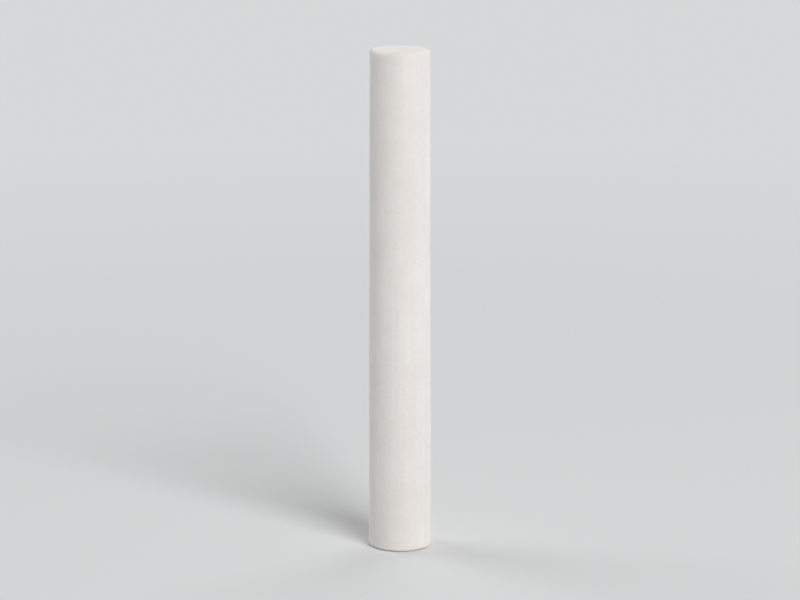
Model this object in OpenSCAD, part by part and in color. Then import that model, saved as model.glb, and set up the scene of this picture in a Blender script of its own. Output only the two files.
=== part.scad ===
// Round stick of moulded blackboard chalk, with flat ends and softened rims.
// Lengths are in millimetres. The stick stands on its wide end: the origin is
// at the centre of that end face, and +Z runs up the axis to the narrow end.

/* [Stick] */
// Length from one end face to the other
stick_l = 80; // [60:0.5:120]
// Diameter at the wide end, where the chalk was poured into its mould
wide_d = 10; // [8:0.1:16]
// Diameter at the narrow end, smaller by the draft that frees the stick from its mould
narrow_d = 9.5; // [7.5:0.1:16]

/* [Rims] */
// Radius of the rim round the wide end face
wide_rim_r = 0.4; // [0.1:0.05:1.5]
// Radius of the rim round the narrow end face
narrow_rim_r = 0.6; // [0.1:0.05:1.5]

/* [Hidden] */
$fn = 96;

// Angle between the shank's side and its axis
draft = atan((wide_d - narrow_d) / 2 / stick_l);
// A rim's arc stands this far proud of the side, so that the two outlines join cleanly
seam = 0.0002;
// Half profiles lie in the X-Y plane: X is the radius and Y the height
wide_rim = rim_centre(wide_rim_r, wide_rim_r);
narrow_rim = rim_centre(stick_l - narrow_rim_r, narrow_rim_r);

// Radius of the shank's side at a height, with no rim taken off it
function side_r(height) = wide_d / 2 - height * tan(draft);

// Centre of a rim's arc at a height, where the arc is tangent to the side
function rim_centre(height, rim_r) = [side_r(height) - rim_r / cos(draft) + seam, height];

// Point on the side where a rim's arc meets it
function side_point(centre, rim_r) =
    let (height = centre.y + rim_r * sin(draft))
    [side_r(height), height];

// Half of the stick's outline: straight from rim to rim, each rim a true arc
module half_profile() {
    polygon([
        [0, 0],
        [wide_rim.x, 0],
        side_point(wide_rim, wide_rim_r),
        side_point(narrow_rim, narrow_rim_r),
        [narrow_rim.x, stick_l],
        [0, stick_l]
    ]);
    translate(wide_rim) circle(wide_rim_r);
    translate(narrow_rim) circle(narrow_rim_r);
}

// The whole stick is one casting of one material
module chalk_stick() {
    color("#E9E4E0")
        rotate_extrude()
            half_profile();
}

chalk_stick();
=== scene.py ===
import math
import random

import bmesh
import bpy
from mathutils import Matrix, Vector, kdtree, noise


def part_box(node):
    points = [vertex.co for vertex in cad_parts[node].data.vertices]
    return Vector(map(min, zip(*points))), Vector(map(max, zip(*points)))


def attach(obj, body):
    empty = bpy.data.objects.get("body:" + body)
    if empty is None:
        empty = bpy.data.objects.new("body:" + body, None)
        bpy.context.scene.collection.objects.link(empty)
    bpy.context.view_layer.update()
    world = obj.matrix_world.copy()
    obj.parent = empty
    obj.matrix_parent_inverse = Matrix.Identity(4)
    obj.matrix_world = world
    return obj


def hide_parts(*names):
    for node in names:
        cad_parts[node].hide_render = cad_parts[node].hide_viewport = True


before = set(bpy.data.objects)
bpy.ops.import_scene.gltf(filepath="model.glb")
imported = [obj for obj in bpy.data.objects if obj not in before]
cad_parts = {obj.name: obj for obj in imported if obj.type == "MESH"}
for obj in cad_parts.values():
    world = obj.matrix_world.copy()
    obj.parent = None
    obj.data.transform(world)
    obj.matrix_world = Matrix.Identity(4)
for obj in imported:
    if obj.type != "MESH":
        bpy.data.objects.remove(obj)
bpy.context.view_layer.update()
millimetres = 1000                          # in a metre

stickLow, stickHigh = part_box("chalk_stick")
stickLength = stickHigh.z - stickLow.z
wideRadius = stickHigh.x


# a node socket that can stand in a sum
class Wire:
    def __init__(self, tree, socket=None):
        self.tree = tree
        self.socket = socket

    # adds one node: its settings first, then the values or wires of its inputs
    def add(self, kind, settings=None, inputs=None, output=0):
        node = self.tree.nodes.new(kind)
        for name, setting in (settings or {}).items():
            setattr(node, name, setting)
        for name, value in (inputs or {}).items():
            if isinstance(value, Wire):
                self.tree.links.new(value.socket, node.inputs[name])
            else:
                node.inputs[name].default_value = value
        return Wire(self.tree, node.outputs[output] if len(node.outputs) else None)

    # another output of the same node
    def out(self, name):
        return Wire(self.tree, self.socket.node.outputs[name])

    def maths(self, operation, first, second):
        return self.add("ShaderNodeMath", {"operation": operation}, {0: first, 1: second})

    def __add__(self, other):
        return self.maths("ADD", self, other)

    def __sub__(self, other):
        return self.maths("SUBTRACT", self, other)

    def __rsub__(self, other):
        return self.maths("SUBTRACT", other, self)

    def __mul__(self, other):
        return self.maths("MULTIPLY", self, other)

    __radd__ = __add__
    __rmul__ = __mul__


def emptyTree(owner):
    owner.use_nodes = True
    owner.node_tree.nodes.clear()
    return Wire(owner.node_tree)


def total(wires):
    first, *others = wires
    return sum(others, first)


def opaque(colour):
    return (*colour, 1)


# the stick, in metres; its length and its wide end come from the frame
chalkStick = {
    "narrowDiameter": 0.0095,
    "wideRim": 0.0004,                      # radius of the rim's arc
    "narrowRim": 0.0006,
    "segments": 180,                        # round the stick
    "ringGap": 0.00027,                     # along the side
    "faceGap": 0.00030,                     # across the end faces
    "rimSteps": 8,

    "pitSeed": 12,                          # pits are bubbles that broke at the mould's wall
    "sidePits": 90,
    "endPits": 6,                           # on each end face
    "sideShare": (0.02, 0.98),              # the part of the length that has pits
    "endShare": 0.85,                       # the part of an end's radius that has pits
    "pitRadius": (0.00005, 0.00017),        # smallest and largest
    "pitDepth": 0.7,                        # a share of the radius
    "pitCuts": 3,                           # extra mesh lines across a face near a pit

    "waves": [                              # size across the stick, size along it, depth
        (0.013, 0.013, 0.000020),           # slow unevenness of the mould
        (0.0024, 0.0024, 0.000007),         # the set skin
        (0.0008, 0.024, 0.000004),          # lines drawn along the side as it left the mould
        (0.0007, 0.0007, 0.000003),         # coarse grain
    ],
    "rimReach": 0.0011,                     # a rim is worn within this distance of its corner
    "rimWear": [(0.0030, 0.000022), (0.0006, 0.000012)],    # size, depth
    "bladeMark": (0.0011, 0.015, 0.000006),                 # gap, length and depth, on the wide end
}


# evenly from start to stop
def spread(start, stop, count):
    return [start + (stop - start) * (step / count) for step in range(count + 1)]


def spreadBy(start, stop, widestGap):
    return spread(start, stop, math.ceil(abs(stop - start) / widestGap))


# half of the outline as (radius, height), from the middle of the wide end to the middle of the narrow end
def stickOutline(form):
    draft = math.atan((wideRadius - form["narrowDiameter"] / 2) / stickLength)

    def rimCentre(height, radius):
        return wideRadius - height * math.tan(draft) - radius / math.cos(draft), height

    def rimArc(centre, radius, start, stop):
        angles = spread(start, stop, form["rimSteps"])
        return [(centre[0] + radius * math.cos(a), centre[1] + radius * math.sin(a)) for a in angles]

    wideCentre = rimCentre(form["wideRim"], form["wideRim"])
    narrowCentre = rimCentre(stickLength - form["narrowRim"], form["narrowRim"])
    wideArc = rimArc(wideCentre, form["wideRim"], -math.pi / 2, draft)
    narrowArc = rimArc(narrowCentre, form["narrowRim"], draft, math.pi / 2)
    (sideStart, bottom), (sideStop, top) = wideArc[-1], narrowArc[0]
    heights = spreadBy(bottom, top, form["ringGap"])[1:-1]
    side = [(sideStart + (sideStop - sideStart) * (h - bottom) / (top - bottom), h) for h in heights]
    wideFace = [(radius, 0) for radius in spreadBy(0, wideCentre[0], form["faceGap"])[:-1]]
    narrowFace = [(radius, stickLength) for radius in spreadBy(narrowCentre[0], 0, form["faceGap"])[1:]]
    return wideFace + wideArc + side + narrowArc + narrowFace


# a point of the outline, turned about the stick's axis
def turned(radius, height, turn):
    return Vector((radius * math.cos(turn), radius * math.sin(turn), height))


# turns the outline into a closed skin; a point on the axis is one corner that its whole ring shares
def turnOutline(mesh, outline, segments):
    turns = [2 * math.pi * step / segments for step in range(segments)]
    rings = []
    for radius, height in outline:
        if radius == 0:
            rings.append([mesh.verts.new((0, 0, height))] * segments)
        else:
            rings.append([mesh.verts.new(turned(radius, height, turn)) for turn in turns])
    for lower, upper in zip(rings, rings[1:]):
        for here in range(segments):
            corners = (lower[here - 1], lower[here], upper[here], upper[here - 1])
            mesh.faces.new(list(dict.fromkeys(corners)))    # next to the axis two corners are the same


# the middle and the radius of each pit
def scatterPits(form):
    draw = random.Random(form["pitSeed"])
    narrowRadius = form["narrowDiameter"] / 2
    taper = (wideRadius - narrowRadius) / stickLength
    places = []

    def place(radius, height):
        places.append(turned(radius, height, draw.uniform(0, 2 * math.pi)))

    for _ in range(form["sidePits"]):
        height = stickLength * draw.uniform(*form["sideShare"])
        place(wideRadius - taper * height, height)
    for height in (stickLow.z, stickHigh.z):
        for _ in range(form["endPits"]):
            place(form["endShare"] * narrowRadius * math.sqrt(draw.random()), height)
    small, large = form["pitRadius"]
    return [(spot, small + (large - small) * draw.random() ** 2) for spot in places]    # most are small


# finer mesh where a pit will be pressed in
def refinePits(mesh, pits, form):
    centres = kdtree.KDTree(len(mesh.faces))
    mesh.faces.ensure_lookup_table()
    for index, face in enumerate(mesh.faces):
        centres.insert(face.calc_center_median(), index)
    centres.balance()
    edges = set()
    for spot, radius in pits:
        for _, index, _ in centres.find_range(spot, radius + form["ringGap"]):
            edges.update(mesh.faces[index].edges)
    mesh.edges.index_update()
    inOrder = sorted(edges, key=lambda edge: edge.index)    # so that each run gives the same mesh
    bmesh.ops.subdivide_edges(mesh, edges=inOrder, cuts=form["pitCuts"],
                              use_grid_fill=True, use_single_edge=True)


# how far the moulded skin lies from the nominal surface; it is always inside, so this is negative
def skinDepth(spot, form):
    depth = 0
    for across, along, deep in form["waves"]:
        depth += deep * (noise.noise(Vector((spot.x / across, spot.y / across, spot.z / along))) - 1)
    radius = math.hypot(spot.x, spot.y)
    for corner in ((wideRadius, stickLow.z), (form["narrowDiameter"] / 2, stickHigh.z)):
        nearness = max(0, 1 - math.dist((radius, spot.z), corner) / form["rimReach"])
        for size, deep in form["rimWear"]:
            depth += nearness * deep * (noise.noise(spot / size) - 1)
    gap, length, deep = form["bladeMark"]
    onFace = max(0, 1 - spot.z / form["wideRim"])
    return depth + onFace * deep * (noise.noise(Vector((spot.x / gap, spot.y / length, 0))) - 1)


# moves each corner in by the skin's depth and, inside a pit, by the pit's bowl
def pressSkin(mesh, pits, form):
    near = kdtree.KDTree(len(pits))
    for index, (spot, _) in enumerate(pits):
        near.insert(spot, index)
    near.balance()
    mesh.normal_update()
    moves = []
    for vert in mesh.verts:
        depth = skinDepth(vert.co, form)
        _, index, distance = near.find(vert.co)
        radius = pits[index][1]
        if distance < radius:
            depth -= form["pitDepth"] * radius * (1 - (distance / radius) ** 2)
        moves.append(vert.normal * depth)
    for vert, move in zip(mesh.verts, moves):
        vert.co += move


def makeStick(form):
    mesh = bmesh.new()
    turnOutline(mesh, stickOutline(form), form["segments"])
    pits = scatterPits(form)
    refinePits(mesh, pits, form)
    pressSkin(mesh, pits, form)
    for face in mesh.faces:
        face.smooth = True
    data = bpy.data.meshes.new("chalkStick")
    mesh.to_mesh(data)
    mesh.free()
    stick = bpy.data.objects.new("chalkStick", data)
    bpy.context.scene.collection.objects.link(stick)
    print("stick made,", sum(len(face.vertices) - 2 for face in data.polygons), "triangles")
    return stick


# the dry, matte chalk; sizes in millimetres unless noted
chalkLook = {
    "colour": (0.830, 0.794, 0.767),
    "shade": (0.772, 0.735, 0.706),         # where the skin is denser
    "powder": (0.860, 0.828, 0.805),        # loose chalk rubbed over the skin
    "noises": {                             # size across the stick, size along it, detail
        "cloud": (7, 7, 3),
        "fleck": (0.5, 0.5, 2),
        "grain": (0.14, 0.14, 3),
        "drag": (0.9, 26, 3),               # faint lines drawn by the mould
    },
    "noiseRoughness": 0.6,
    "colourParts": {"cloud": 0.45, "fleck": 0.30, "drag": 0.25},
    "colourRange": (0.36, 0.64),
    "powderParts": {"cloud": 0.30, "drag": 0.50, "grain": 0.20},
    "powderRange": (0.54, 0.66),
    "powderCover": 0.5,

    "poreGap": 0.8,
    "poreReach": (0.05, 0.16),              # smallest and largest pore, as shares of the gap
    "poreFloor": 0.3,                       # its flat floor, a share of its reach
    # painted shade: each pore's colour is darkened towards this, as if shade fell in the hole
    "poreShadeColour": (0, 0, 0),
    "poreShadeTone": 0.10,                       # how much of that colour a pore has: painted shade, darkening the hole as shade would

    "bumpParts": {"grain": 0.50, "fleck": 0.35, "drag": 0.30},
    "poreDepth": 0.8,                       # on the same scale as the parts of the bump
    "bump": 0.6,
    "bumpDistance": 0.00006,                # in metres
    "roughness": (0.90, 0.78),              # of the shade and of the plain colour
    "diffuseRoughness": 0.35,
    "specular": 0.3,
}


def makeChalk(look):
    material = bpy.data.materials.new("chalk")
    tree = emptyTree(material)
    place = tree.add("ShaderNodeTexCoord", output="Object")
    spot = tree.add("ShaderNodeVectorMath", {"operation": "SCALE"}, {0: place, "Scale": millimetres})

    def noiseOf(across, along, detail):
        stretch = (1, 1, across / along)
        drawn = tree.add("ShaderNodeVectorMath", {"operation": "MULTIPLY"}, {0: spot, 1: stretch})
        return tree.add("ShaderNodeTexNoise", None, {
            "Vector": drawn, "Scale": 1 / across, "Detail": detail, "Roughness": look["noiseRoughness"]})

    def ranged(value, low, high):
        return tree.add("ShaderNodeMapRange", None, {"Value": value, "From Min": low, "From Max": high})

    def mixed(factor, first, second):       # a Mix node's sockets for colours are 6, 7 and, going out, 2
        return tree.add("ShaderNodeMix", {"data_type": "RGBA"}, {0: factor, 6: first, 7: second}, 2)

    noises = {name: noiseOf(*shape) for name, shape in look["noises"].items()}

    def blended(parts):
        return total(share * noises[name] for name, share in parts.items())

    small, large = look["poreReach"]
    cells = tree.add("ShaderNodeTexVoronoi", None, {"Vector": spot, "Scale": 1 / look["poreGap"]})
    draw = tree.add("ShaderNodeSeparateColor", None, {"Color": cells.out("Color")}, "Red")
    reach = small + (large - small) * draw * draw
    pore = 1 - ranged(cells.out("Distance"), look["poreFloor"] * reach, reach)

    density = ranged(blended(look["colourParts"]), *look["colourRange"])
    powder = look["powderCover"] * ranged(blended(look["powderParts"]), *look["powderRange"])
    skinColour = mixed(density, opaque(look["shade"]), opaque(look["colour"]))
    dusted = mixed(powder, skinColour, opaque(look["powder"]))
    height = blended(look["bumpParts"]) - look["poreDepth"] * pore
    rough, smooth = look["roughness"]
    chalk = tree.add("ShaderNodeBsdfPrincipled", None, {
        # painted shade in the pores: the pore mask darkens the colour
        "Base Color": mixed(look["poreShadeTone"] * pore, dusted, opaque(look["poreShadeColour"])),
        "Roughness": rough - (rough - smooth) * density,
        "Normal": tree.add("ShaderNodeBump", None, {
            "Strength": look["bump"], "Distance": look["bumpDistance"], "Height": height}),
        "Diffuse Roughness": look["diffuseRoughness"],
        "Specular IOR Level": look["specular"],
    })
    tree.add("ShaderNodeOutputMaterial", None, {"Surface": chalk})
    return material


# the studio, in metres; the backdrop's tone is what the camera sees where the floor ends
studio = {
    "tone": (0.675, 0.682, 0.688),
    "floorColour": (0.72, 0.726, 0.732),
    "floorRadius": 2.5,
    "floorSegments": 96,
    "fadeFrom": 0.10,                       # the floor turns into the backdrop from here
    "fadeTo": 0.40,                         # to here, measured from the stick's axis
    "ambient": 0.24,
    "ambientColour": (1, 1, 1),
}
# azimuth and elevation in degrees, as for the camera; distance and size in metres; power in watts
lamps = {
    "key": {"azimuth": 4, "elevation": 37, "distance": 1.6, "size": 0.9, "power": 19.2},
    "fill": {"azimuth": -145, "elevation": 20, "distance": 1.4, "size": 1.0, "power": 8.2},
    "side": {"azimuth": 126, "elevation": 17, "distance": 1.6, "size": 1.4, "power": 11.0},
}
# the focal length is in millimetres; nearest is the closest distance that the camera shows
lens = {"azimuth": -26, "elevation": 12, "distance": 0.52, "focal": 148, "nearest": 0.01}


# puts a lamp or the camera round the stick and aims it at the middle; azimuth 0 looks along +Y
def aim(thing, where):
    turn, rise = math.radians(where["azimuth"]), math.radians(where["elevation"])
    level = math.cos(rise)
    place = Vector((math.sin(turn) * level, -math.cos(turn) * level, math.sin(rise))) * where["distance"]
    thing.location = (stickLow + stickHigh) / 2 + place
    thing.rotation_euler = (-place).to_track_quat("-Z", "Y").to_euler()
    bpy.context.scene.collection.objects.link(thing)


# 1 where a ray shows the backdrop, 0 where it only carries its light
def seenRay(tree):
    ray = tree.add("ShaderNodeLightPath")
    return total(ray.out(kind) for kind in ("Is Camera Ray", "Is Glossy Ray", "Is Transmission Ray"))


def makeFloor():
    mesh = bmesh.new()
    bmesh.ops.create_circle(mesh, cap_ends=True,
                            segments=studio["floorSegments"], radius=studio["floorRadius"])
    data = bpy.data.meshes.new("floor")
    mesh.to_mesh(data)
    mesh.free()
    floor = bpy.data.objects.new("floor", data)
    floor.location.z = stickLow.z
    bpy.context.scene.collection.objects.link(floor)
    material = bpy.data.materials.new("floorPaper")
    tree = emptyTree(material)
    place = tree.add("ShaderNodeTexCoord", output="Object")
    distance = tree.add("ShaderNodeVectorMath", {"operation": "LENGTH"}, {0: place}, "Value")
    fade = tree.add("ShaderNodeMapRange", {"interpolation_type": "SMOOTHSTEP"},
                    {"Value": distance, "From Min": studio["fadeFrom"], "From Max": studio["fadeTo"]})
    paper = tree.add("ShaderNodeBsdfDiffuse", None, {"Color": opaque(studio["floorColour"])})
    glow = tree.add("ShaderNodeEmission", None, {"Color": opaque(studio["tone"])})
    mixed = tree.add("ShaderNodeMixShader", None, {0: fade * seenRay(tree), 1: paper, 2: glow})
    tree.add("ShaderNodeOutputMaterial", None, {"Surface": mixed})
    data.materials.append(material)


def makeWorld():
    world = bpy.data.worlds.new("studio")
    bpy.context.scene.world = world
    tree = emptyTree(world)
    light = tree.add("ShaderNodeBackground", None, {
        "Color": opaque(studio["ambientColour"]), "Strength": studio["ambient"]})
    backdrop = tree.add("ShaderNodeBackground", None, {"Color": opaque(studio["tone"])})
    mixed = tree.add("ShaderNodeMixShader", None, {0: seenRay(tree), 1: light, 2: backdrop})
    tree.add("ShaderNodeOutputWorld", None, {"Surface": mixed})


def makeLamps():
    for name, lamp in lamps.items():
        data = bpy.data.lights.new(name, "AREA")
        data.shape = "DISK"
        data.size = lamp["size"]
        data.energy = lamp["power"]
        aim(bpy.data.objects.new(name, data), lamp)


def makeCamera():
    data = bpy.data.cameras.new("camera")
    data.lens = lens["focal"]
    data.clip_start = lens["nearest"]
    camera = bpy.data.objects.new("camera", data)
    aim(camera, lens)
    bpy.context.scene.camera = camera


makeFloor()
makeWorld()
makeLamps()
makeCamera()
bpy.context.scene.view_settings.view_transform = "Standard"
print("studio ready")

stick = makeStick(chalkStick)
stick.data.materials.append(makeChalk(chalkLook))
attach(stick, "root")
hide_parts("chalk_stick")
print("stick dressed")
